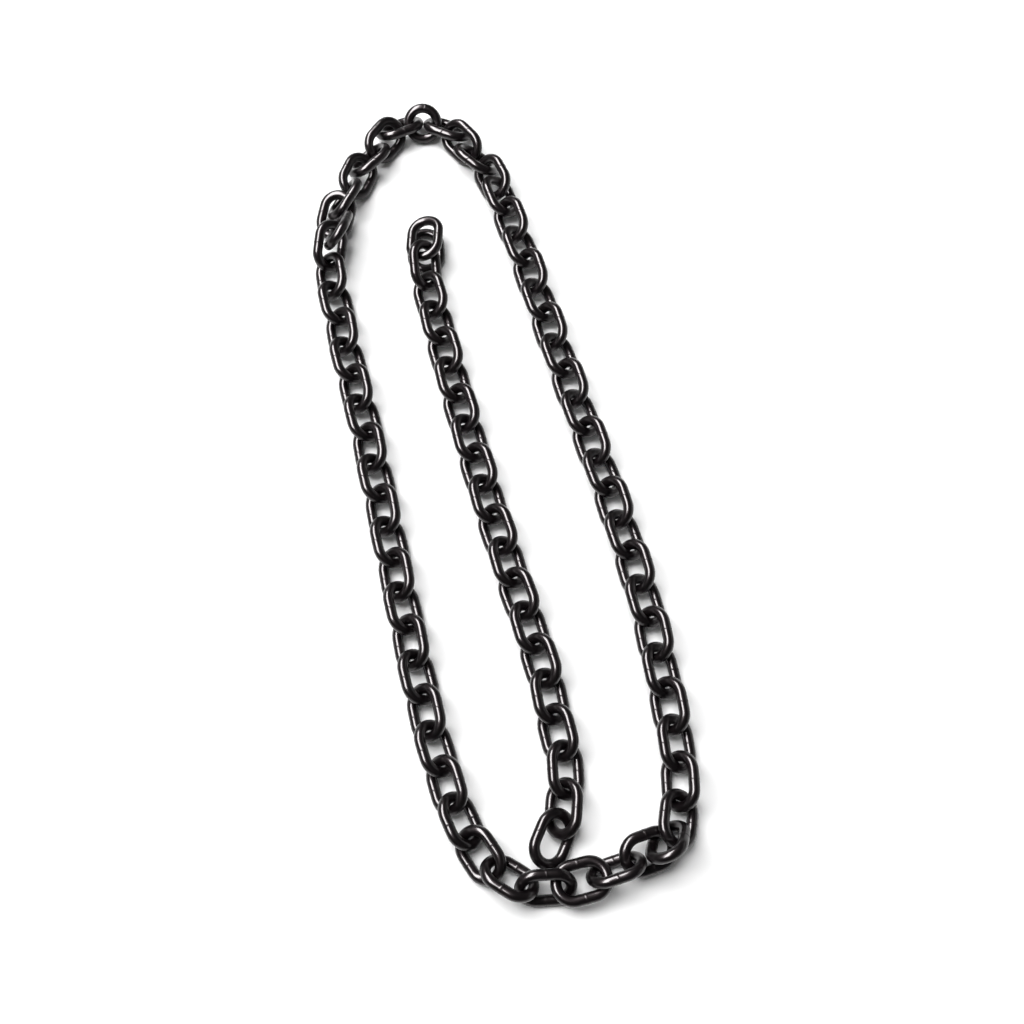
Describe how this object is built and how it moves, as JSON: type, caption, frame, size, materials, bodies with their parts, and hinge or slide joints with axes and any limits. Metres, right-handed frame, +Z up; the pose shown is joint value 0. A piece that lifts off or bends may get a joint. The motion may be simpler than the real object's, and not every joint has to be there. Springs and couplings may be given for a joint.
{
  "type": "laid-out length of iron chain",
  "caption": "Short link steel chain laid out on the floor as a long, narrow loop that a small round ring closes at its far end, with a free tail of the same chain running down its middle.",
  "frame": {"origin": "middle of the outline's box, on the floor the chain lies on", "axes": "+Z up from the floor, +Y along the loop towards its far arch, +X across the loop"},
  "size_m": [0.3684, 0.8434, 0.0541],
  "materials": {
    "black_steel": "glossy black oiled or lacquered steel"
  },
  "bodies": {
    "root": {"far_arch_link_01": "black_steel", "far_arch_link_02": "black_steel", "far_arch_link_03": "black_steel", "far_arch_link_04": "black_steel", "far_arch_link_05": "black_steel", "far_arch_link_06": "black_steel", "far_arch_link_07": "black_steel", "far_arch_link_08": "black_steel", "far_arch_link_09": "black_steel", "far_arch_link_10": "black_steel", "far_arch_link_11": "black_steel", "far_arch_link_12": "black_steel", "far_arch_ring_01": "black_steel", "left_strand_links_01_02": "black_steel", "left_strand_links_03_04": "black_steel", "left_strand_links_05_06": "black_steel", "left_strand_links_07_08": "black_steel", "left_strand_links_09_10": "black_steel", "left_strand_links_11_12": "black_steel", "left_strand_links_13_14": "black_steel", "left_strand_links_15_16": "black_steel", "left_strand_links_17_18": "black_steel", "near_bend_link_01": "black_steel", "near_bend_link_02": "black_steel", "near_bend_link_03": "black_steel", "near_bend_link_04": "black_steel", "near_bend_link_05": "black_steel", "near_bend_link_06": "black_steel", "near_corner_link_01": "black_steel", "near_corner_link_02": "black_steel", "right_strand_links_01_02": "black_steel", "right_strand_links_03_04": "black_steel", "right_strand_links_05_06": "black_steel", "right_strand_links_07_08": "black_steel", "right_strand_links_09_10": "black_steel", "right_strand_links_11_12": "black_steel", "right_strand_links_13_14": "black_steel", "right_strand_links_15_16": "black_steel", "right_strand_links_17_18": "black_steel", "right_strand_links_19_20": "black_steel", "tail_end_link_01": "black_steel", "tail_end_link_02": "black_steel", "tail_end_link_03": "black_steel", "tail_foot_link_01": "black_steel", "tail_strand_links_01_02": "black_steel", "tail_strand_links_03_04": "black_steel", "tail_strand_links_05_06": "black_steel", "tail_strand_links_07_08": "black_steel", "tail_strand_links_09_10": "black_steel", "tail_strand_links_11_12": "black_steel", "tail_strand_links_13_14": "black_steel", "tail_strand_links_15_16": "black_steel", "tail_strand_links_17": "black_steel"}
  },
  "joints": []
}
